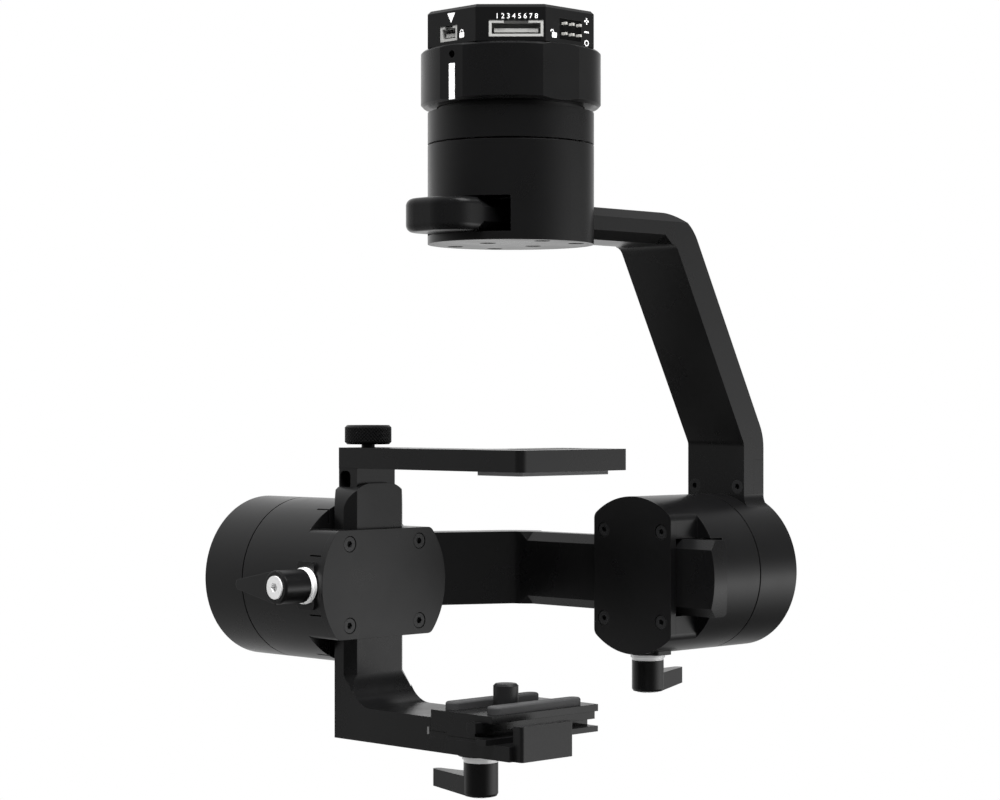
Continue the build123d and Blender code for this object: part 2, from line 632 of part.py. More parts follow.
def yaw_arm():
    slope = math.radians(BEND_ANGLE)
    low = YAW_LOW_Z
    top = low + BAR_T
    back = ARM_FOOT_Y + BAR_T
    middle = ARM_FOOT_Y + BAR_T / 2
    foot = AXIS_Z + FOOT_BASE
    upper_shift = BAR_T * math.tan((math.pi / 2 - slope) / 2)
    lower_shift = BAR_T * math.tan(slope / 2)
    side = Plane(origin=(0, 0, 0), x_dir=(0, 1, 0), z_dir=(1, 0, 0))
    start, end = YAW_CHAMFER_Y
    half = BAR_W / 2
    upper_chamfers = long_edge_planes((0, start, 0), (0, 1, 0), YAW_TOP_CHAMFER_END - start,
                                      [(half, 0, top), (-half, 0, top)], [(1, 0, 1), (-1, 0, 1)])
    lower_chamfers = long_edge_planes((0, start, 0), (0, 1, 0), end - start,
                                      [(half, 0, low), (-half, 0, low)], [(1, 0, -1), (-1, 0, -1)])
    with BuildPart() as arm:
        # rounded front end
        with BuildSketch(Plane.XY.offset(low)):
            with Locations((0, (ARM_Y_TIP + ARM_LOBE_Y) / 2)):
                Rectangle(BAR_W, ARM_LOBE_Y - ARM_Y_TIP)
        extrude(amount=BAR_T)
        fillet(arm.edges().filter_by(Axis.Z).group_by(Axis.Y)[0], BAR_END_R)
        rim = arm.edges().group_by(Axis.Z)[0] + arm.edges().group_by(Axis.Z)[-1]
        fillet([e for e in rim if abs(e.center().Y - ARM_LOBE_Y) > 0.01], LOBE_EDGE_R)
        # the bent bar behind it; the profile's x is the object's Y, and its y is Z
        with BuildSketch(side) as profile:
            with BuildLine():
                Polyline((ARM_LOBE_Y, low), (ARM_BEND_Y, low), (ARM_FOOT_Y, ARM_LOWER_BEND_Z), (ARM_FOOT_Y, foot),
                         (middle, foot), (middle, foot + FOOT_LAP), (back, foot + FOOT_LAP),
                         (back, ARM_LOWER_BEND_Z + lower_shift), (ARM_BEND_Y + upper_shift, top), (ARM_LOBE_Y, top),
                         close=True)
            make_face()
            inner = [v for v in profile.vertices() if abs(v.X - ARM_BEND_Y) < 0.01
                     or abs(v.Y - ARM_LOWER_BEND_Z) < 0.01]
            fillet(inner, INNER_BEND_R)
            outer = [v for v in profile.vertices() if abs(v.X - ARM_BEND_Y - upper_shift) < 0.01
                     or abs(v.Y - ARM_LOWER_BEND_Z - lower_shift) < 0.01]
            fillet(outer, OUTER_BEND_R)
        extrude(amount=BAR_W / 2, both=True)
        for plane in upper_chamfers:
            with BuildSketch(plane):
                Rectangle(YAW_TOP_CHAMFER_END - start, 2 * BAR_CHAMFER)
            extrude(amount=BAR_CHAMFER, taper=CHAMFER_RUN_OUT, mode=Mode.SUBTRACT)
        for plane in lower_chamfers:
            with BuildSketch(plane):
                Rectangle(end - start, 2 * BAR_CHAMFER)
            extrude(amount=BAR_CHAMFER, taper=CHAMFER_RUN_OUT, mode=Mode.SUBTRACT)
        with BuildSketch(Plane.XY.offset(low)):
            with Locations(*BAR_SCREWS):
                Circle(SCREW_R)
        extrude(amount=3.0, mode=Mode.SUBTRACT)
        with BuildSketch(roll_axis.offset(ROLL_FOOT)):
            with Locations(*FOOT_SCREWS):
                Circle(SCREW_R)
        extrude(amount=-BAR_T / 2, mode=Mode.SUBTRACT)
        with BuildSketch(roll_axis.offset(ROLL_FOOT)):
            with Locations(*FOOT_SCREWS):
                Circle(HEAD_R)
        extrude(amount=-HEAD_H, mode=Mode.SUBTRACT)
    save(arm, "yaw_arm")
    socket_screws(roll_axis.offset(ROLL_FOOT), "yaw_arm_screws", FOOT_SCREWS, 5.0)


# ---- roll arm ----------------------------------------------------------------------------------------
ROLL_BAR_Y = ROLL_SEAM_Y - ROLL_FRONT + FIT
ROLL_BEND_X = -45.4
ROLL_END_R = 26.8         # the bar ends in an arc around the roll axis
ROLL_END_BEVEL = 3.3
ROLL_CHAMFER_X = (-41.0, 40.0)
TILT_FOOT_X = TILT_SEAM_X + TILT_FOOT


def roll_arm():
    slope = math.radians(BEND_ANGLE)
    front = ROLL_BAR_Y
    back = front + BAR_T
    outside = TILT_FOOT_X - BAR_T
    middle = TILT_FOOT_X - BAR_T / 2
    foot = TILT_Y + FOOT_BASE
    second_bend = front - (ROLL_BEND_X - TILT_FOOT_X) / math.tan(slope)
    first_shift = BAR_T * math.tan((math.pi / 2 - slope) / 2)
    second_shift = BAR_T * math.tan(slope / 2)
    start, end = ROLL_CHAMFER_X
    top = AXIS_Z + BAR_W / 2
    low = AXIS_Z - BAR_W / 2
    chamfers = long_edge_planes((start, 0, 0), (1, 0, 0), end - start,
                                [(0, front, top), (0, back, top), (0, front, low), (0, back, low)],
                                [(0, -1, 1), (0, 1, 1), (0, -1, -1), (0, 1, -1)])
    with BuildPart() as arm:
        with BuildSketch(Plane.XY.offset(AXIS_Z)) as profile:
            with BuildLine():
                Polyline((ROLL_END_R, front), (ROLL_BEND_X, front), (TILT_FOOT_X, second_bend), (TILT_FOOT_X, foot),
                         (middle, foot), (middle, foot + FOOT_LAP), (outside, foot + FOOT_LAP),
                         (outside, second_bend + second_shift), (ROLL_BEND_X - first_shift, back),
                         (ROLL_END_R - ROLL_END_BEVEL, back), (ROLL_END_R, back - ROLL_END_BEVEL), close=True)
            make_face()
            inner = [v for v in profile.vertices() if abs(v.X - ROLL_BEND_X) < 0.01
                     or abs(v.Y - second_bend) < 0.01]
            fillet(inner, INNER_BEND_R)
            outer = [v for v in profile.vertices() if abs(v.X - ROLL_BEND_X + first_shift) < 0.01
                     or abs(v.Y - second_bend - second_shift) < 0.01]
            fillet(outer, OUTER_BEND_R)
        extrude(amount=BAR_W / 2, both=True)
        with BuildSketch(roll_axis.offset(ROLL_SEAM_Y - back)):
            with Locations((0, -ROLL_END_R)):
                Rectangle(2 * BAR_W, 2 * ROLL_END_R)
            Circle(ROLL_END_R, mode=Mode.SUBTRACT)
        extrude(amount=BAR_T, mode=Mode.SUBTRACT)
        for plane in chamfers:
            with BuildSketch(plane):
                Rectangle(end - start, 2 * BAR_CHAMFER)
            extrude(amount=BAR_CHAMFER, taper=CHAMFER_RUN_OUT, mode=Mode.SUBTRACT)
        with BuildSketch(tilt_axis.offset(TILT_FOOT)):
            with Locations(*FOOT_SCREWS):
                Circle(SCREW_R)
        extrude(amount=-BAR_T / 2, mode=Mode.SUBTRACT)
        with BuildSketch(tilt_axis.offset(TILT_FOOT)):
            with Locations(*FOOT_SCREWS):
                Circle(HEAD_R)
        extrude(amount=-HEAD_H, mode=Mode.SUBTRACT)
    save(arm, "roll_arm")
    socket_screws(tilt_axis.offset(TILT_FOOT), "roll_arm_screws", FOOT_SCREWS, 5.0)


# ---- cage arm and the rail under the camera -----------------------------------------------------------
CAGE_FRONT_X = TILT_SEAM_X + TILT_FRONT - FIT
CAGE_BACK_X = CAGE_FRONT_X - BAR_T
CAGE_TOP_Z = AXIS_Z + 25.2
CAGE_LOW_Z = AXIS_Z - 39.0
SHELF_Z = AXIS_Z - 30.7
NOTCH_Z = AXIS_Z - 35.4
NOTCH_X = 2.0
CAGE_END_X = 29.2
CAGE_CHAMFER_Z = AXIS_Z - 23.0    # lower end of the chamfered stretch
POST_FRONT_X = -29.0
POST_W = 12.9
CHANNEL_Z = AXIS_Z - 10.0
CLAMP_X = 9.3             # axis of the lever under the camera plate
BOSS_Z = CAGE_LOW_Z - 1.2
BASE_TOP_Z = AXIS_Z - 34.0
BASE_X = (NOTCH_X, 24.0)
BASE_Y = (-32.2, 6.4)
BASE_LIP_X = 21.0         # the base reaches past the arm's side only beyond this X
SIDE_Y = TILT_Y - BAR_W / 2
NECK_W = 9.5
NECK_LOW_Z = AXIS_Z - 34.6
PLATE_X = 12.75
platform_seat = Plane(origin=(CLAMP_X, TILT_Y, BOSS_Z), x_dir=(-1, 0, 0), z_dir=(0, 0, -1))


def cage_arm():
    start = CAGE_CHAMFER_Z
    end = CAGE_TOP_Z + 20
    front_y = TILT_Y - BAR_W / 2
    back_y = TILT_Y + BAR_W / 2
    back_start = CAGE_LOW_Z - 20
    front_chamfers = long_edge_planes((0, 0, start), (0, 0, 1), end - start,
                                      [(CAGE_FRONT_X, front_y, 0), (CAGE_FRONT_X, back_y, 0)],
                                      [(1, -1, 0), (1, 1, 0)])
    back_chamfers = long_edge_planes((0, 0, back_start), (0, 0, 1), end - back_start,
                                     [(CAGE_BACK_X, front_y, 0), (CAGE_BACK_X, back_y, 0)],
                                     [(-1, -1, 0), (-1, 1, 0)])
    with BuildPart() as arm:
        with BuildSketch(cage_side) as profile:
            with BuildLine():
                Polyline((CAGE_BACK_X, CAGE_LOW_Z), (CAGE_END_X, CAGE_LOW_Z), (CAGE_END_X, NOTCH_Z),
                         (NOTCH_X, NOTCH_Z), (NOTCH_X, SHELF_Z), (CAGE_FRONT_X, SHELF_Z),
                         (CAGE_FRONT_X, CAGE_TOP_Z), (CAGE_BACK_X, CAGE_TOP_Z), close=True)
            make_face()
            fillet([v for v in profile.vertices() if abs(v.X - CAGE_FRONT_X) + abs(v.Y - SHELF_Z) < 0.01], 8.0)
            fillet([v for v in profile.vertices() if abs(v.X - CAGE_BACK_X) + abs(v.Y - CAGE_LOW_Z) < 0.01], 1.0)
        extrude(amount=BAR_W / 2, both=True)
        fillet(arm.edges().filter_by(Axis.X).group_by(Axis.Z)[-1], BAR_END_R)
        for plane in front_chamfers:
            with BuildSketch(plane):
                Rectangle(end - start, 2 * BAR_CHAMFER)
            extrude(amount=BAR_CHAMFER, taper=CHAMFER_RUN_OUT, mode=Mode.SUBTRACT)
        for plane in back_chamfers:
            with BuildSketch(plane):
                Rectangle(end - back_start, 2 * BAR_CHAMFER)
            extrude(amount=BAR_CHAMFER, taper=CHAMFER_RUN_OUT, mode=Mode.SUBTRACT)
        # channel for the top brace's post, open to the back and the top
        with BuildSketch(Plane.XY.offset(CHANNEL_Z)):
            with Locations(((POST_FRONT_X + FIT + CAGE_BACK_X - 1) / 2, TILT_Y)):
                Rectangle(POST_FRONT_X + FIT - CAGE_BACK_X + 1, POST_W + 2 * FIT)
        extrude(amount=60.0, mode=Mode.SUBTRACT)
        # boss and hole of the plate clamp's screw
        with BuildSketch(platform_seat):
            Circle(5.6)
        extrude(amount=-1.2 - 0.5)
        with BuildSketch(platform_seat):
            Circle(LEVER_HOLE_R + RUNNING_FIT)
        extrude(amount=-10.0, mode=Mode.SUBTRACT)
        with BuildSketch(index_face):
            Rectangle(INDEX[0], INDEX[1])
        extrude(amount=-0.4, mode=Mode.SUBTRACT)
    save(arm, "cage_arm")
    with BuildPart() as mark:
        with BuildSketch(index_face):
            Rectangle(INDEX[0], INDEX[1])
        extrude(amount=-0.4)
    save(mark, "index_mark")


INDEX = (0.7, 1.8)
index_face = Plane(origin=(1.2, TILT_Y - BAR_W / 2, AXIS_Z - 34.0), x_dir=(1, 0, 0), z_dir=(0, -1, 0))


def end_cover():
    recess = Plane(origin=(CAGE_END_X, TILT_Y, AXIS_Z - 37.2), x_dir=(0, 1, 0), z_dir=(1, 0, 0))
    length = 2.9
    with BuildPart() as cover:
        with BuildSketch(Plane.XY.offset(CAGE_LOW_Z)):
            with Locations((CAGE_END_X + length / 2, TILT_Y)):
                Rectangle(length, 17.5)
        extrude(amount=8.4)
        fillet(cover.edges().filter_by(Axis.Z).group_by(Axis.X)[-1], 0.8)
        with BuildSketch(recess):
            Rectangle(14.0, 2.6)
        extrude(amount=1.8, mode=Mode.SUBTRACT)
    save(cover, "end_cover")
    with BuildPart() as board:
        with BuildSketch(recess):
            Rectangle(14.0, 2.6)
        extrude(amount=0.9)
        with BuildSketch(recess.offset(0.9)):
            Rectangle(3.0, 2.0)
        extrude(amount=0.6)
    save(board, "motion_sensor_board")


def plate_base():
    length = BASE_Y[1] - BASE_Y[0]
    middle = (BASE_Y[0] + BASE_Y[1]) / 2
    with BuildPart() as base:
        with BuildSketch(Plane.XY.offset(NOTCH_Z)):
            with Locations(((BASE_X[0] + BASE_X[1]) / 2, (SIDE_Y + BASE_Y[1]) / 2)):
                Rectangle(BASE_X[1] - BASE_X[0], BASE_Y[1] - SIDE_Y)
            with Locations(((BASE_LIP_X + BASE_X[1]) / 2, middle)):
                Rectangle(BASE_X[1] - BASE_LIP_X, length)
        extrude(amount=BASE_TOP_Z - NOTCH_Z)
        with BuildSketch(Plane.XY.offset(NECK_LOW_Z - FIT)):
            with Locations((PLATE_X, middle)):
                Rectangle(NECK_W + 2 * FIT, length + 1)
        extrude(amount=2.0, mode=Mode.SUBTRACT)
        with BuildSketch(Plane.XY.offset(NOTCH_Z)):
            with Locations((CLAMP_X, TILT_Y)):
                Circle(LEVER_HOLE_R + RUNNING_FIT)
        extrude(amount=3.0, mode=Mode.SUBTRACT)
    save(base, "plate_base")


# ---- camera plate ------------------------------------------------------------------------------------
FLANGE_Y = (-29.5, 7.2)
BODY_Y = (-31.7, 9.5)
STRIP_X = (17.0, 20.0)    # strip along the plate's right side that reaches past the flange
PLATE_LEFT_X = NOTCH_X + FIT
FLANGE_LOW_Z = AXIS_Z - 30.5
FLANGE_TOP_Z = AXIS_Z - 28.8
BODY_LOW_Z = AXIS_Z - 32.9
RIB_TOP_Z = AXIS_Z - 26.9
SLOT_L = 16.0
NUT_SLOT = 6.2            # width of the clamp nut's slot, and of the way in at its end
LIP_TOP_Z = AXIS_Z - 33.1
CAMERA_Y = -14.4          # axis of the camera's screw
CAMERA_R = 3.1
CAMERA_HOLE_R = 3.175


def camera_plate():
    body_len = BODY_Y[1] - BODY_Y[0]
    body_mid = (BODY_Y[0] + BODY_Y[1]) / 2
    with BuildPart() as plate:
        with BuildSketch(Plane.XY.offset(FLANGE_LOW_Z)):
            with Locations((PLATE_X, (FLANGE_Y[0] + FLANGE_Y[1]) / 2)):
                Rectangle(21.1, FLANGE_Y[1] - FLANGE_Y[0])
        extrude(amount=FLANGE_TOP_Z - FLANGE_LOW_Z)
        with BuildSketch(Plane.XY.offset(BODY_LOW_Z)):
            with Locations(((STRIP_X[0] + STRIP_X[1]) / 2, body_mid)):
                Rectangle(STRIP_X[1] - STRIP_X[0], body_len)
        extrude(amount=FLANGE_LOW_Z - BODY_LOW_Z)
        with BuildSketch(Plane.XY.offset(BASE_TOP_Z + FIT)):
            with Locations(((PLATE_LEFT_X + STRIP_X[0]) / 2, (SIDE_Y + BODY_Y[1]) / 2)):
                Rectangle(STRIP_X[0] - PLATE_LEFT_X, BODY_Y[1] - SIDE_Y)
        extrude(amount=FLANGE_LOW_Z - BASE_TOP_Z - FIT)
        with BuildSketch(Plane.XY.offset(NECK_LOW_Z)):
            with Locations((PLATE_X, (SIDE_Y + BODY_Y[1]) / 2)):
                Rectangle(NECK_W, BODY_Y[1] - SIDE_Y)
        extrude(amount=BODY_LOW_Z - NECK_LOW_Z)
        # T slot for the clamp's nut
        with BuildSketch(Plane.XY.offset(NECK_LOW_Z)):
            with Locations((CLAMP_X, TILT_Y)):
                SlotOverall(SLOT_L, 4.6, rotation=90)
        extrude(amount=3.0, mode=Mode.SUBTRACT)
        with BuildSketch(Plane.XY.offset(LIP_TOP_Z)):
            with Locations((CLAMP_X, TILT_Y + NUT_SLOT / 2)):
                Rectangle(NUT_SLOT, SLOT_L + 1.6 + NUT_SLOT)
        extrude(amount=2.1, mode=Mode.SUBTRACT)
        with BuildSketch(Plane.XY.offset(NECK_LOW_Z)):
            with Locations((CLAMP_X, TILT_Y + SLOT_L / 2 + 0.8 + NUT_SLOT / 2)):
                Rectangle(NUT_SLOT, NUT_SLOT)
        extrude(amount=LIP_TOP_Z - NECK_LOW_Z, mode=Mode.SUBTRACT)
        with BuildSketch(Plane.XY.offset(FLANGE_TOP_Z)):
            with Locations((PLATE_X, CAMERA_Y)):
                Circle(CAMERA_HOLE_R)
        extrude(amount=-1.8, mode=Mode.SUBTRACT)
    save(plate, "camera_plate")


def clamp_nut():
    with BuildPart() as nut:
        with BuildSketch(Plane.XY.offset(LIP_TOP_Z + 0.05)):
            with Locations((CLAMP_X, TILT_Y)):
                Rectangle(5.6, 5.6)
                Circle(LEVER_HOLE_R + RUNNING_FIT, mode=Mode.SUBTRACT)
        extrude(amount=1.7)
    save(nut, "clamp_nut")


def plate_ribs():
    with BuildPart() as ribs:
        with BuildSketch(Plane.XY.offset(FLANGE_TOP_Z)):
            with Locations((PLATE_X - 7.25, -11.75), (PLATE_X + 7.25, -11.75)):
                SlotOverall(30.5, 4.0, rotation=90)
        extrude(amount=RIB_TOP_Z - FLANGE_TOP_Z)
        fillet(ribs.edges().group_by(Axis.Z)[-1], 0.6)
    save(ribs, "plate_ribs")


def camera_screw():
    with BuildPart() as screw:
        # undercut foot in the plate's hole, and the thread above it
        with BuildSketch(Plane.XY.offset(FLANGE_TOP_Z - 1.7)):
            with Locations((PLATE_X, CAMERA_Y)):
                Circle(CAMERA_R - 0.4)
        extrude(amount=1.9)
        with BuildSketch(Plane.XY.offset(FLANGE_TOP_Z + 0.2)):
            with Locations((PLATE_X, CAMERA_Y)):
                Circle(CAMERA_R)
        extrude(amount=5.75)
        chamfer(screw.edges().group_by(Axis.Z)[-1], 0.5)
    save(screw, "camera_screw")


# ---- top brace ---------------------------------------------------------------------------------------
BRACE_LOW_Z = AXIS_Z + 28.95
BRACE_TOP_Z = AXIS_Z + 34.2
POST_LOW_Z = AXIS_Z - 4.0
KNOB = (-32.0, TILT_Y)
KNOB_SCREW_L = 6.8        # how far the thumb screw's shank reaches below the brace
KNOB_R = 5.95
KNOB_SCREW_R = 1.7
PADDLE_X = (6.0, 29.5)
PADDLE_Y = (-26.0, 11.8)
BRACE_SLOT = (18.0, -6.0)


def top_post():
    side = Plane(origin=(CAGE_BACK_X + 2.5, TILT_Y - POST_W / 2, AXIS_Z + 25.9), x_dir=(1, 0, 0), z_dir=(0, -1, 0))
    with BuildPart() as post:
        with BuildSketch(Plane.XY.offset(POST_LOW_Z)):
            with Locations(((POST_FRONT_X + CAGE_BACK_X) / 2, TILT_Y)):
                Rectangle(POST_FRONT_X - CAGE_BACK_X, POST_W)
        extrude(amount=BRACE_LOW_Z - POST_LOW_Z)
        # pocket beside the thumb screw, for its nut
        with BuildSketch(side):
            RectangleRounded(4.0, 4.8, 1.4)
        extrude(amount=-3.0, mode=Mode.SUBTRACT)
        with BuildSketch(Plane.XY.offset(BRACE_LOW_Z)):
            with Locations(KNOB):
                Circle(KNOB_SCREW_R + RUNNING_FIT)
        extrude(amount=-12.0, mode=Mode.SUBTRACT)
    save(post, "top_post")


def top_brace():
    with BuildPart() as brace:
        with BuildSketch(Plane.XY.offset(BRACE_LOW_Z)) as outline:
            with BuildLine():
                Polyline((CAGE_BACK_X, PADDLE_Y[0]), (PADDLE_X[1], PADDLE_Y[0]), (PADDLE_X[1], PADDLE_Y[1]),
                         (PADDLE_X[0], PADDLE_Y[1]), (PADDLE_X[0], TILT_Y + POST_W / 2),
                         (CAGE_BACK_X, TILT_Y + POST_W / 2), close=True)
            make_face()
            fillet(outline.vertices().group_by(Axis.X)[-1], 2.0)
            fillet([v for v in outline.vertices() if abs(v.X - PADDLE_X[0]) < 0.01], 3.0)
            with Locations(BRACE_SLOT):
                SlotOverall(24.0, 5.0, rotation=90, mode=Mode.SUBTRACT)
            with Locations(KNOB):
                Circle(KNOB_SCREW_R + RUNNING_FIT, mode=Mode.SUBTRACT)
        extrude(amount=BRACE_TOP_Z - BRACE_LOW_Z)
    save(brace, "top_brace")
    with BuildPart() as pad:
        with BuildSketch(Plane.XY.offset(BRACE_LOW_Z)):
            with Locations((20.2, -8.9)):
                RectangleRounded(15.2, 31.0, 1.0)
            with Locations(BRACE_SLOT):
                SlotOverall(24.0, 5.0, rotation=90, mode=Mode.SUBTRACT)
        extrude(amount=-0.95)
    save(pad, "brace_pad")


def thumb_screw():
    with BuildPart() as screw:
        with BuildSketch(Plane.XY.offset(BRACE_TOP_Z + 0.8)):
            with Locations(KNOB):
                Circle(KNOB_R)
        extrude(amount=4.9)
        chamfer(screw.edges(), 0.6)
        with BuildSketch(Plane.XY.offset(BRACE_LOW_Z - KNOB_SCREW_L)):
            with Locations(KNOB):
                Circle(KNOB_SCREW_R)
        extrude(amount=BRACE_TOP_Z - BRACE_LOW_Z + KNOB_SCREW_L + 1.0)
    save(screw, "thumb_screw")


# ---- build everything --------------------------------------------------------------------------------
cap()
sockets()
pin_header()
controller()
yaw_stator_housing()
lock_ring()
yaw_housing()
yaw_cover()
yaw_arm()
roll_arm()
for motor_name, motor_plane, board_radius in (("yaw", yaw_axis, 15.2), ("roll", roll_axis, 18.7),
                                              ("tilt", tilt_axis, 18.7)):
    stator_core(motor_plane, motor_name)
    coils(motor_plane, motor_name)
    bearings(motor_plane, motor_name)
    magnets(motor_plane, motor_name)
    shaft(motor_plane, motor_name)
    encoder_board(motor_plane, motor_name, board_radius)
for motor_name, motor_plane, front, foot_at, finger_turn in (("roll", roll_axis, ROLL_FRONT, ROLL_FOOT, 10),
                                                             ("tilt", tilt_axis, TILT_FRONT, TILT_FOOT, 0)):
    rear_housing(motor_plane, motor_name, foot_at)
    front_housing(motor_plane, motor_name, front)
    end_plate(motor_plane, motor_name, front)
    plate_screws(motor_plane, motor_name, front)
    lever_at = lever_seat(motor_plane, front, finger_turn)
    clamp_lever(lever_at, motor_name + "_lever")
    lever_hardware(lever_at, motor_name + "_lever", LEVER_SEAT - BAR_W / 2 - FIT)
clamp_lever(platform_seat, "platform_lever")
lever_hardware(platform_seat, "platform_lever", 9.0)
cage_arm()
end_cover()
plate_base()
clamp_nut()
camera_plate()
plate_ribs()
camera_screw()
top_post()
top_brace()
thumb_screw()
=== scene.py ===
import json
import math

import bmesh
import bpy
from mathutils import Matrix, Vector


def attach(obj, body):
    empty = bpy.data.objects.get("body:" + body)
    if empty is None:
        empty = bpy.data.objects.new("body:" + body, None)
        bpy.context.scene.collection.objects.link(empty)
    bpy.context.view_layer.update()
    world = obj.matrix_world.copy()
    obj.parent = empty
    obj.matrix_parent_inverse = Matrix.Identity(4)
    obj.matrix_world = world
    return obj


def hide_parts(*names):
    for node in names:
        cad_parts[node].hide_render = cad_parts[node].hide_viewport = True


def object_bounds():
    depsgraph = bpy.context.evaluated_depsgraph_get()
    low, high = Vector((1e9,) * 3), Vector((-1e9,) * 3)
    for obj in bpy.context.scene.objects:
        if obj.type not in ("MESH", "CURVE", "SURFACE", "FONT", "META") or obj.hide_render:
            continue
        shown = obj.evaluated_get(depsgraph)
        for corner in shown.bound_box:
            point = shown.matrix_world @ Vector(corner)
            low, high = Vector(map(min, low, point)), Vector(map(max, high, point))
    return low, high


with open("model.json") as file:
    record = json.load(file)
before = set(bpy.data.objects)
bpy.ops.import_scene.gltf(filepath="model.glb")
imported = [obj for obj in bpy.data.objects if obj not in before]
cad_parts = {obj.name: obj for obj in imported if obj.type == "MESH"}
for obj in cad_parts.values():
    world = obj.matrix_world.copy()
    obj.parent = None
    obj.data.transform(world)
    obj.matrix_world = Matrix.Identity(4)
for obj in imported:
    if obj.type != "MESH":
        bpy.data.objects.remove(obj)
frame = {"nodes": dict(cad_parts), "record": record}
cad_low, cad_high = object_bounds()

MM = 0.001
AXIS_Z = -142.6 * MM      # height of the crossing roll and tilt axes


# ---- camera and stage: driving values --------------------------------------------------------
CAMERA_AZIMUTH = math.radians(45.42)
CAMERA_DISTANCE = 625.0 * MM
CAMERA_SIDE = -2.72 * MM
CAMERA_Z = AXIS_Z + 44.29 * MM
CAMERA_LENS = 89.5
CAMERA_SENSOR = 36.0
CAMERA_SHIFT_Y = 0.0078
CAMERA_NEAR = 0.01
CAMERA_FAR = 20.0
FLOOR_DROP = 300.0 * MM      # the gimbal hangs, so the floor is well below it
FLOOR_R = 900.0 * MM
FLOOR_SIDES = 96

toward_camera = Vector((math.sin(CAMERA_AZIMUTH), -math.cos(CAMERA_AZIMUTH), 0))
screen_right = Vector((math.cos(CAMERA_AZIMUTH), math.sin(CAMERA_AZIMUTH), 0))
away = -toward_camera


# ---- light: driving values -------------------------------------------------------------------
# Each strip runs from one height of the light's direction to another (0 level, -1 straight
# down), with its strength at the first and at the second.
SIDE_RISE = (0.14, -0.16, 0.22, 1.45)
SIDE_BAND = (-0.05, -0.15, 0.0, 0.9)
SIDE_FALL = (-0.24, -0.7, 1.0, 0.25)
SIDE_POWER = 5.0
AMBIENT = 0.06
# Broad lobes of light: where each is aimed, how narrow it is, and its strength.
LOBES = (
    (away, 5.0, 0.9),
    (away - screen_right, 3.0, 0.34),
    (-screen_right, 2.0, 0.09),
    (Vector((-0.6, 0.2, 1)), 2.0, 0.5),
    (toward_camera, 3.0, 0.07),
    (away - screen_right + Vector((0, 0, -1.2)), 3.0, 0.14),
)
SOFTBOX_SIDE = 0.6
SIDE_KEY_AT = Vector((0.5, 0.2, 0.7))
SIDE_KEY_WATTS = 3.0
FRONT_KEY_AT = toward_camera * 0.4 + Vector((0, 0, 0.95))
FRONT_KEY_WATTS = 48.0


# ---- surface detail: driving values ----------------------------------------------------------
# Noise patterns: cycles per metre, detail and roughness.
CLOUDS = (45.0, 4.0, 0.6)
GRAIN = (5200.0, 3.0, 0.7)
RUBBED_PATCHES = (260.0, 5.0, 0.65)
TARNISH = (300.0, 4.0, 0.6)
TURNING_MARKS = (2400.0, 3.0, 0.7)
TINT = (500.0, 3.0, 0.5)
PEBBLES = (6000.0, 2.0, 0.5)
NOISE_LOW = 0.3              # most of a noise pattern's values lie from here
NOISE_HIGH = 0.7             # to here

# How far a surface's roughness goes below and above its middle value.
ANODISED_SPREAD = (0.04, 0.05)
METAL_SPREAD = (0.05, 0.08)
MOULDED_SPREAD = (0.04, 0.06)

# Bump: strength and depth.
GRAIN_BUMP = (0.25, 0.012 * MM)
FINE_BUMP = (0.2, 0.01 * MM)

BEVEL_SAMPLES = 6
SHARP_DOT = 0.86             # rounded against true normal where an edge counts as fully sharp
METAL_EDGE_R = 0.15 * MM
PATCH_RANGE = (0.45, 0.65, 0.15, 1.0)
DEEP_SHADE = (0.8, 0.8, 0.84)
LIGHT_SHADE = (1.3, 1.3, 1.36)
BARE_ALUMINIUM = (0.05, 0.05, 0.052, 1)
TARNISH_SHADE = 0.82


# ---- node helpers ----------------------------------------------------------------------------
class Graph:
    """A node tree, with short calls for the nodes used here."""

    def __init__(self, tree):
        self.tree = tree

    def node(self, kind, **values):
        made = self.tree.nodes.new(kind)
        for key, value in values.items():
            if key in made.inputs:
                made.inputs[key].default_value = value
            else:
                setattr(made, key, value)
        return made

    def link(self, start, end):
        self.tree.links.new(start, end)

    def set_or_link(self, socket, value, plain_types):
        if isinstance(value, plain_types):
            socket.default_value = value
        else:
            self.link(value, socket)

    def noise(self, coordinates, scale, detail, roughness):
        made = self.node("ShaderNodeTexNoise", Scale=scale, Detail=detail, Roughness=roughness)
        self.link(coordinates, made.inputs["Vector"])
        return made.outputs["Fac"]

    def remap(self, value, low, high, to_low, to_high):
        made = self.node("ShaderNodeMapRange")
        made.inputs["From Min"].default_value = low
        made.inputs["From Max"].default_value = high
        made.inputs["To Min"].default_value = to_low
        made.inputs["To Max"].default_value = to_high
        self.link(value, made.inputs["Value"])
        return made.outputs["Result"]

    def math(self, operation, first, second):
        made = self.node("ShaderNodeMath", operation=operation)
        for socket, value in zip(made.inputs, (first, second)):
            self.set_or_link(socket, value, (int, float))
        return made.outputs[0]

    def dot(self, first, second):
        """Dot product of a linked direction with another, linked or fixed."""
        made = self.node("ShaderNodeVectorMath", operation="DOT_PRODUCT")
        self.link(first, made.inputs[0])
        self.set_or_link(made.inputs[1], second, Vector)
        return made.outputs["Value"]

    def mix_colour(self, factor, first, second):
        made = self.node("ShaderNodeMix", data_type="RGBA")
        self.link(factor, made.inputs[0])
        colours = [s for s in made.inputs if s.type == "RGBA"]
        for socket, value in zip(colours, (first, second)):
            self.set_or_link(socket, value, tuple)
        return [s for s in made.outputs if s.type == "RGBA"][0]


def principled(material):
    return next(n for n in material.node_tree.nodes if n.type == "BSDF_PRINCIPLED")


def new_material(name):
    material = bpy.data.materials.new(name)
    material.use_nodes = True
    graph = Graph(material.node_tree)
    shader = principled(material)
    coordinates = graph.node("ShaderNodeTexCoord").outputs["Object"]
    return material, graph, shader, coordinates


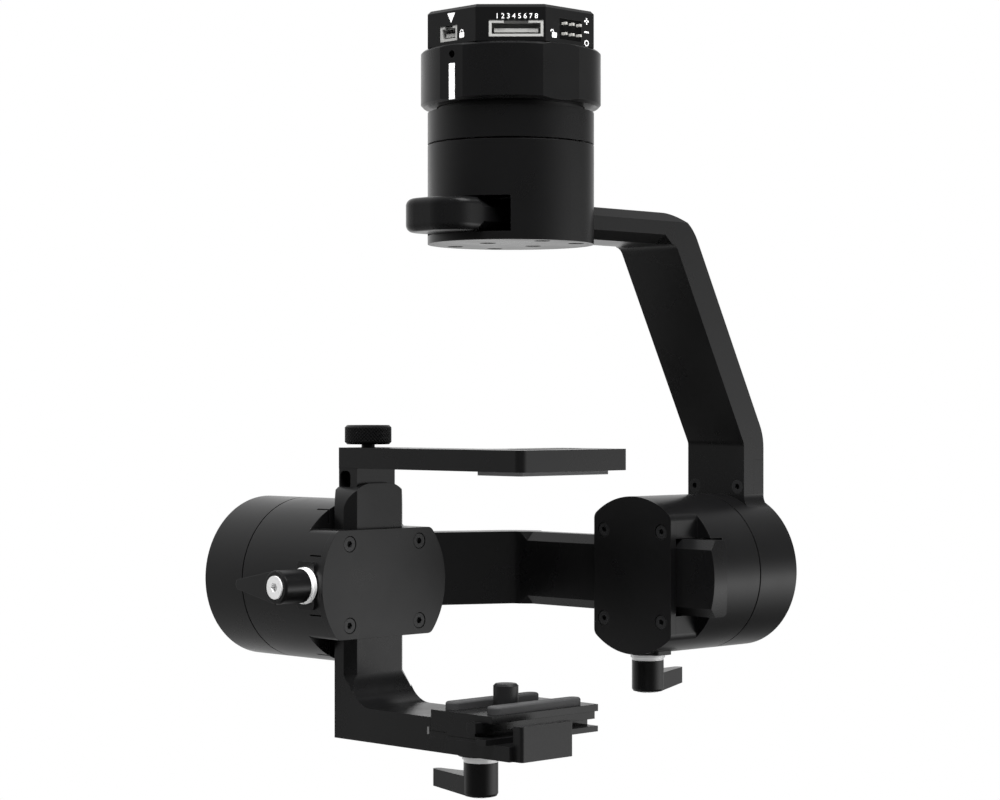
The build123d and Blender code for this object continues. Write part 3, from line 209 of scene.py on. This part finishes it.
def rounded_normal(graph, radius):
    """The surface's normal, with edges rounded to the radius."""
    return graph.node("ShaderNodeBevel", samples=BEVEL_SAMPLES, Radius=radius).outputs["Normal"]


def edge_mask(graph, rounded):
    """About 1 on edges sharper than the rounding, and 0 on flat stretches."""
    true_normal = graph.node("ShaderNodeNewGeometry").outputs["True Normal"]
    return graph.remap(graph.dot(rounded, true_normal), 1.0, SHARP_DOT, 0.0, 1.0)


def set_roughness(graph, shader, pattern, roughness, spread):
    below, above = spread
    rough = graph.remap(pattern, NOISE_LOW, NOISE_HIGH, roughness - below, roughness + above)
    graph.link(rough, shader.inputs["Roughness"])


def set_bump(graph, shader, pattern, amount, rounded=None):
    strength, depth = amount
    bump = graph.node("ShaderNodeBump", Strength=strength, Distance=depth)
    graph.link(pattern, bump.inputs["Height"])
    if rounded is not None:
        graph.link(rounded, bump.inputs["Normal"])
    graph.link(bump.outputs["Normal"], shader.inputs["Normal"])


def anodised(name, tone, roughness, wear=0.25, edge=0.12):
    """Black anodised aluminium: blasted grain, faint cloudiness, and edges rubbed over the
    given width in millimetres."""
    material, graph, shader, coordinates = new_material(name)
    clouds = graph.noise(coordinates, *CLOUDS)
    grain = graph.noise(coordinates, *GRAIN)
    rounded = rounded_normal(graph, edge * MM)
    patches = graph.remap(graph.noise(coordinates, *RUBBED_PATCHES), *PATCH_RANGE)
    rubbed = graph.math("MULTIPLY", edge_mask(graph, rounded), patches)
    deep = tuple(tone * c for c in DEEP_SHADE) + (1,)
    light = tuple(tone * c for c in LIGHT_SHADE) + (1,)
    body = graph.mix_colour(clouds, deep, light)
    colour = graph.mix_colour(graph.math("MULTIPLY", rubbed, wear), body, BARE_ALUMINIUM)
    graph.link(colour, shader.inputs["Base Color"])
    set_roughness(graph, shader, clouds, roughness, ANODISED_SPREAD)
    set_bump(graph, shader, grain, GRAIN_BUMP, rounded)
    return material


def metal(name, colour, roughness, metallic=1.0):
    """Bare or plated metal with turning marks and slight tarnish."""
    material, graph, shader, coordinates = new_material(name)
    shader.inputs["Metallic"].default_value = metallic
    dark = tuple(c * TARNISH_SHADE for c in colour) + (1,)
    tarnish = graph.noise(coordinates, *TARNISH)
    graph.link(graph.mix_colour(tarnish, dark, colour + (1,)), shader.inputs["Base Color"])
    marks = graph.noise(coordinates, *TURNING_MARKS)
    set_roughness(graph, shader, marks, roughness, METAL_SPREAD)
    set_bump(graph, shader, marks, FINE_BUMP, rounded_normal(graph, METAL_EDGE_R))
    return material


def moulded(name, colour, roughness, tint=0.06):
    """Moulded plastic, ink or rubber with a fine pebbled surface."""
    material, graph, shader, coordinates = new_material(name)
    dark = tuple(c * (1 - tint) for c in colour) + (1,)
    patches = graph.noise(coordinates, *TINT)
    graph.link(graph.mix_colour(patches, dark, colour + (1,)), shader.inputs["Base Color"])
    pebbles = graph.noise(coordinates, *PEBBLES)
    set_roughness(graph, shader, pebbles, roughness, MOULDED_SPREAD)
    set_bump(graph, shader, pebbles, FINE_BUMP)
    return material


def set_specular(material, level):
    principled(material).inputs["Specular IOR Level"].default_value = level


# ---- materials of the CAD pieces -------------------------------------------------------------
knob_black = anodised("knob_black", 0.004, 0.36, wear=0.1, edge=0.05)
set_specular(knob_black, 0.4)
header_black = moulded("header_black", (0.002, 0.002, 0.002), 0.6, 0.3)
set_specular(header_black, 0.15)
ink_white = moulded("ink_white", (0.94, 0.94, 0.94), 0.6)

FINISHES = {
    "black_anodised": anodised("housing_black", 0.003, 0.29),
    "black_bar": anodised("bar_black", 0.003, 0.28),
    "black_lever": anodised("lever_black", 0.003, 0.27, wear=0.4, edge=0.25),
    "black_screw": metal("screw_black", (0.012, 0.012, 0.0125), 0.3, metallic=0.0),
    "bright_steel": metal("bright_steel", (0.92, 0.92, 0.92), 0.38, metallic=0.35),
    "white_plastic": moulded("socket_white", (0.34, 0.34, 0.33), 0.4),
    "white_ink": ink_white,
    "black_plastic": moulded("plastic_black", (0.004, 0.004, 0.0042), 0.34, 0.3),
    "gold_pins": metal("tinned", (0.75, 0.74, 0.70), 0.35, metallic=0.5),
    "circuit_board": moulded("board_green", (0.02, 0.11, 0.045), 0.4, 0.2),
    "rubber": moulded("rubber_grey", (0.16, 0.16, 0.163), 0.6, 0.15),
    "stator_steel": metal("core_steel", (0.3, 0.3, 0.31), 0.45),
    "copper_wire": metal("copper", (0.72, 0.33, 0.16), 0.35),
    "magnet": metal("magnet_nickel", (0.6, 0.6, 0.6), 0.3),
}
# Pieces that don't look like the others in their slot.
OWN_FINISHES = {
    "plate_ribs": moulded("rib_rubber", (0.04, 0.04, 0.041), 0.5, 0.2),
    "index_mark": moulded("mark_grey", (0.12, 0.12, 0.12), 0.6),
    "pin_header": header_black,
}
for part in frame["record"]["subparts"]:
    mesh = frame["nodes"][part["node"]].data
    mesh.materials.clear()
    mesh.materials.append(OWN_FINISHES.get(part["node"], FINISHES[part["material_slot"]]))


# ---- pieces: printed marks on the cap --------------------------------------------------------
# The print is laid out in millimetres on a facet: x from its middle, y from the cap's top face.
HALF_CAP = 20.6 * MM
INK_LIFT = 0.02 * MM
INK_DEPTH = 0.06 * MM
DIAGONAL = math.sqrt(0.5)
ARC_STEPS = 14
CORNER_STEPS = 4

ARROW = [(-1.45, -1.35), (1.35, -1.35), (-0.05, -3.75)]
LOCK_W = 1.65
LOCK_H = 1.3
LOCK_CORNER = 0.2
LOCK_DROP = 0.4              # the lock's middle below the sign's
SHACKLE_RISE = 0.36          # the shackle's centre above the sign's
SHACKLE_OUTER = 0.62
SHACKLE_INNER = 0.36
SHACKLE_TURN = (-8, 188)
CLOSED_LOCK_AT = (3.7, -6.75)
OPEN_LOCK_AT = (-5.5, -6.95)
OPEN_SHIFT = -0.75           # the open shackle, beside the lock

SIGN_LEFT = 5.1
SIGN_RIGHT = 6.7
PLUS_BAR = (-3.0, -2.6)      # low and high edges
MINUS_BAR = (-5.7, -5.3)
STEM_SIDES = (5.7, 6.1)
STEM_ENDS = (-3.6, -2.0)
SIGNAL_AT = (5.9, -8.2)
SIGNAL_OUTER = 0.8
SIGNAL_INNER = 0.5
SIGNAL_TURN = (0, 359)

DIGITS = "1 2 3 4 5 6 7 8"
DIGIT_SIZE = 1.75
DIGITS_AT = (1.5, -3.6)


def face_matrix(origin, right, out):
    out = Vector(out).normalized()
    right = Vector(right).normalized()
    up = out.cross(right)
    matrix = Matrix((right, up, out)).transposed().to_4x4()
    matrix.translation = Vector(origin)
    return matrix


front_facet = face_matrix((0, -HALF_CAP, 0), (1, 0, 0), (0, -1, 0))
diagonal_facet = face_matrix(
    (HALF_CAP * DIAGONAL, -HALF_CAP * DIAGONAL, 0), (1, 1, 0), (1, -1, 0)
)
side_facet = face_matrix((HALF_CAP, 0, 0), (0, 1, 0), (1, 0, 0))


def make_piece(name, mesh, body, material):
    piece = bpy.data.objects.new(name, mesh)
    bpy.context.scene.collection.objects.link(piece)
    mesh.materials.clear()
    mesh.materials.append(material)
    for polygon in mesh.polygons:
        polygon.use_smooth = False
    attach(piece, body)
    return piece


def printed(name, outlines, facet):
    """Closed outlines, in millimetres on a facet of the cap, filled as a thin raised print."""
    mesh = bpy.data.meshes.new(name)
    build = bmesh.new()
    for outline in outlines:
        corners = [build.verts.new((x * MM, y * MM, INK_LIFT)) for x, y in outline]
        build.faces.new(corners)
    bmesh.ops.recalc_face_normals(build, faces=build.faces)
    solid = bmesh.ops.extrude_face_region(build, geom=build.faces[:])
    moved = [v for v in solid["geom"] if isinstance(v, bmesh.types.BMVert)]
    bmesh.ops.translate(build, verts=moved, vec=(0, 0, -INK_DEPTH))
    bmesh.ops.recalc_face_normals(build, faces=build.faces)
    bmesh.ops.transform(build, matrix=facet, verts=build.verts)
    build.to_mesh(mesh)
    build.free()
    return make_piece(name, mesh, "base", ink_white)


def rectangle(sides, ends):
    left, right = sides
    low, high = ends
    return [(left, low), (right, low), (right, high), (left, high)]


def ring_part(x, y, outer, inner, turn):
    """An arc of a flat ring, from one angle to the other in degrees."""
    start, end = turn
    turns = [math.radians(start + (end - start) * i / ARC_STEPS) for i in range(ARC_STEPS + 1)]
    outside = [(x + outer * math.cos(a), y + outer * math.sin(a)) for a in turns]
    inside = [(x + inner * math.cos(a), y + inner * math.sin(a)) for a in reversed(turns)]
    return outside + inside


def rounded_box(x, y, width, height, corner):
    points = []
    for turn, sx, sy in ((0, 1, 1), (90, -1, 1), (180, -1, -1), (270, 1, -1)):
        cx = x + sx * (width / 2 - corner)
        cy = y + sy * (height / 2 - corner)
        for i in range(CORNER_STEPS + 1):
            angle = math.radians(turn + 90 * i / CORNER_STEPS)
            points.append((cx + corner * math.cos(angle), cy + corner * math.sin(angle)))
    return points


def padlock(name, place, facet, shackle_shift):
    x, y = place
    body = rounded_box(x, y - LOCK_DROP, LOCK_W, LOCK_H, LOCK_CORNER)
    shackle = ring_part(
        x + shackle_shift, y + SHACKLE_RISE, SHACKLE_OUTER, SHACKLE_INNER, SHACKLE_TURN
    )
    return printed(name, [body, shackle], facet)


def pin_numbers():
    curve = bpy.data.curves.new("pin_numbers_text", "FONT")
    curve.body = DIGITS
    curve.size = DIGIT_SIZE * MM
    curve.align_x = "CENTER"
    curve.extrude = INK_DEPTH / 2
    text = bpy.data.objects.new("pin_numbers_text", curve)
    bpy.context.scene.collection.objects.link(text)
    bpy.context.view_layer.update()
    mesh = bpy.data.meshes.new_from_object(text)
    bpy.data.objects.remove(text)
    x, y = DIGITS_AT
    mesh.transform(diagonal_facet @ Matrix.Translation((x * MM, y * MM, 0)))
    return make_piece("pin_numbers", mesh, "base", ink_white)


def cap_print():
    bar = (SIGN_LEFT, SIGN_RIGHT)
    printed("socket_arrow", [ARROW], front_facet)
    padlock("padlock_closed", CLOSED_LOCK_AT, front_facet, 0)
    padlock("padlock_open", OPEN_LOCK_AT, side_facet, OPEN_SHIFT)
    printed("pin_plus", [rectangle(bar, PLUS_BAR)], side_facet)
    printed("pin_plus_stem", [rectangle(STEM_SIDES, STEM_ENDS)], side_facet)
    printed("pin_minus", [rectangle(bar, MINUS_BAR)], side_facet)
    signal = ring_part(*SIGNAL_AT, SIGNAL_OUTER, SIGNAL_INNER, SIGNAL_TURN)
    printed("pin_signal", [signal], side_facet)
    pin_numbers()


# ---- pieces: knurled thumb screw -------------------------------------------------------------
KNOB_X = -32.0 * MM
KNOB_Y = -19.5 * MM
KNOB_LOW = AXIS_Z + 35.0 * MM
KNOB_HEIGHT = 4.9 * MM
KNOB_HIGH = KNOB_LOW + KNOB_HEIGHT
KNOB_R = 5.95 * MM
KNOB_BEVEL = 0.6 * MM
BAND_EDGE = 0.05 * MM        # small round where the knurled band meets the bevels
BAND_EDGE_DEPTH = 0.3        # share of the knurl's depth on that round
RECESS_R = 3.2 * MM
RECESS_FLOOR_R = 2.9 * MM
RECESS_DEPTH = 0.35 * MM
SHANK_R = 1.7 * MM
SHANK_LOW = AXIS_Z + 22.2 * MM
SHANK_POINT = 0.8            # share of the shank's radius at its end
SHANK_CHAMFER = 0.3 * MM
KNURL_DEPTH = 0.22 * MM
KNURL_SLOPE = 1.8
KNURL_TEETH = 42
KNURL_RISE = 0.9 * MM        # height of one diamond
KNURL_ROWS = 36
AROUND = 336


def knurl(angle, height):
    """Depth of crossed grooves at a place on the band."""
    turned = angle * KNURL_TEETH / 2
    risen = math.pi * height / KNURL_RISE
    first = 1 - abs(math.sin(turned + risen)) * KNURL_SLOPE
    second = 1 - abs(math.sin(turned - risen)) * KNURL_SLOPE
    return KNURL_DEPTH * max(first, second, 0)


def knob_rows():
    """Radius, height and share of the knurl's depth for each ring of the screw, going up."""
    band_low = KNOB_LOW + KNOB_BEVEL
    band = KNOB_HEIGHT - 2 * KNOB_BEVEL
    rows = [
        (SHANK_R * SHANK_POINT, SHANK_LOW, 0),
        (SHANK_R, SHANK_LOW + SHANK_CHAMFER, 0),
        (SHANK_R, KNOB_LOW, 0),
        (KNOB_R - KNOB_BEVEL, KNOB_LOW, 0),
        (KNOB_R - BAND_EDGE, band_low - BAND_EDGE, BAND_EDGE_DEPTH),
    ]
    rows += [(KNOB_R, band_low + band * i / KNURL_ROWS, 1) for i in range(KNURL_ROWS + 1)]
    rows += [
        (KNOB_R - BAND_EDGE, band_low + band + BAND_EDGE, BAND_EDGE_DEPTH),
        (KNOB_R - KNOB_BEVEL, KNOB_HIGH, 0),
        (RECESS_R, KNOB_HIGH, 0),
        (RECESS_FLOOR_R, KNOB_HIGH - RECESS_DEPTH, 0),
    ]
    return rows


def thumb_knob():
    mesh = bpy.data.meshes.new("thumb_knob")
    build = bmesh.new()
    rings = []
    for radius, z, depth in knob_rows():
        ring = []
        for i in range(AROUND):
            angle = 2 * math.pi * i / AROUND
            r = radius - depth * knurl(angle, z - KNOB_LOW)
            place = (KNOB_X + r * math.cos(angle), KNOB_Y + r * math.sin(angle), z)
            ring.append(build.verts.new(place))
        rings.append(ring)
    for low, high in zip(rings, rings[1:]):
        for i in range(AROUND):
            j = (i + 1) % AROUND
            build.faces.new((low[i], low[j], high[j], high[i]))
    build.faces.new(list(reversed(rings[0])))
    build.faces.new(rings[-1])
    bmesh.ops.recalc_face_normals(build, faces=build.faces)
    build.to_mesh(mesh)
    build.free()
    piece = make_piece("thumb_knob", mesh, "thumb", knob_black)
    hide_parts("thumb_screw")


cap_print()
thumb_knob()


# ---- stage -----------------------------------------------------------------------------------
def floor():
    mesh = bpy.data.meshes.new("floor")
    build = bmesh.new()
    bmesh.ops.create_circle(build, cap_ends=True, segments=FLOOR_SIDES, radius=FLOOR_R)
    build.to_mesh(mesh)
    build.free()
    made = bpy.data.objects.new("floor", mesh)
    made.location = (0, 0, cad_low.z - FLOOR_DROP)
    made.visible_glossy = False
    bpy.context.scene.collection.objects.link(made)
    mesh.materials.append(moulded("floor_paint", (0.62, 0.62, 0.62), 0.8, 0.02))


def lobe(graph, direction, aim, power, strength):
    """Light that comes from around one direction: strength at the aim, less away from it."""
    facing = graph.math("MAXIMUM", graph.dot(direction, Vector(aim).normalized()), 0.0)
    return graph.math("MULTIPLY", graph.math("POWER", facing, power), strength)


def studio():
    """Light from all around, brighter on some sides, and plain white behind the object."""
    world = bpy.data.worlds.new("studio")
    bpy.context.scene.world = world
    world.use_nodes = True
    world.node_tree.nodes.clear()
    graph = Graph(world.node_tree)
    direction = graph.node("ShaderNodeTexCoord").outputs["Generated"]
    split = graph.node("ShaderNodeSeparateXYZ")
    graph.link(direction, split.inputs[0])
    height = split.outputs["Z"]
    rise = graph.remap(height, *SIDE_RISE)
    band = graph.remap(height, *SIDE_BAND)
    fall = graph.remap(height, *SIDE_FALL)
    strip = graph.math("ADD", rise, band)
    side = lobe(graph, direction, screen_right, SIDE_POWER, 1.0)
    side_light = graph.math("MULTIPLY", graph.math("MULTIPLY", side, strip), fall)
    light = graph.math("ADD", side_light, AMBIENT)
    for aim, power, strength in LOBES:
        light = graph.math("ADD", light, lobe(graph, direction, aim, power, strength))
    soft = graph.node("ShaderNodeBackground")
    graph.link(light, soft.inputs["Strength"])
    plain = graph.node("ShaderNodeBackground", Strength=1.0)
    plain.inputs["Color"].default_value = (1, 1, 1, 1)
    mix = graph.node("ShaderNodeMixShader")
    graph.link(graph.node("ShaderNodeLightPath").outputs["Is Camera Ray"], mix.inputs[0])
    graph.link(soft.outputs[0], mix.inputs[1])
    graph.link(plain.outputs[0], mix.inputs[2])
    graph.link(mix.outputs[0], graph.node("ShaderNodeOutputWorld").inputs["Surface"])


def softbox(name, position, watts, glossy=True):
    light = bpy.data.lights.new(name, "AREA")
    light.shape = "RECTANGLE"
    light.size = SOFTBOX_SIDE
    light.size_y = SOFTBOX_SIDE
    light.energy = watts
    made = bpy.data.objects.new(name, light)
    made.location = position
    made.visible_glossy = glossy
    aim = Vector((0, 0, AXIS_Z / 2)) - position
    made.rotation_euler = aim.to_track_quat("-Z", "Y").to_euler()
    bpy.context.scene.collection.objects.link(made)


def camera():
    data = bpy.data.cameras.new("camera")
    data.lens = CAMERA_LENS
    data.sensor_width = CAMERA_SENSOR
    data.shift_y = CAMERA_SHIFT_Y
    data.clip_start = CAMERA_NEAR
    data.clip_end = CAMERA_FAR
    made = bpy.data.objects.new("camera", data)
    across = toward_camera * CAMERA_DISTANCE + screen_right * CAMERA_SIDE
    made.location = across + Vector((0, 0, CAMERA_Z))
    made.rotation_euler = away.to_track_quat("-Z", "Y").to_euler()
    bpy.context.scene.collection.objects.link(made)
    bpy.context.scene.camera = made


floor()
studio()
softbox("side_key", SIDE_KEY_AT, SIDE_KEY_WATTS)
softbox("front_key", FRONT_KEY_AT, FRONT_KEY_WATTS, glossy=False)
camera()
bpy.context.scene.view_settings.view_transform = "Standard"
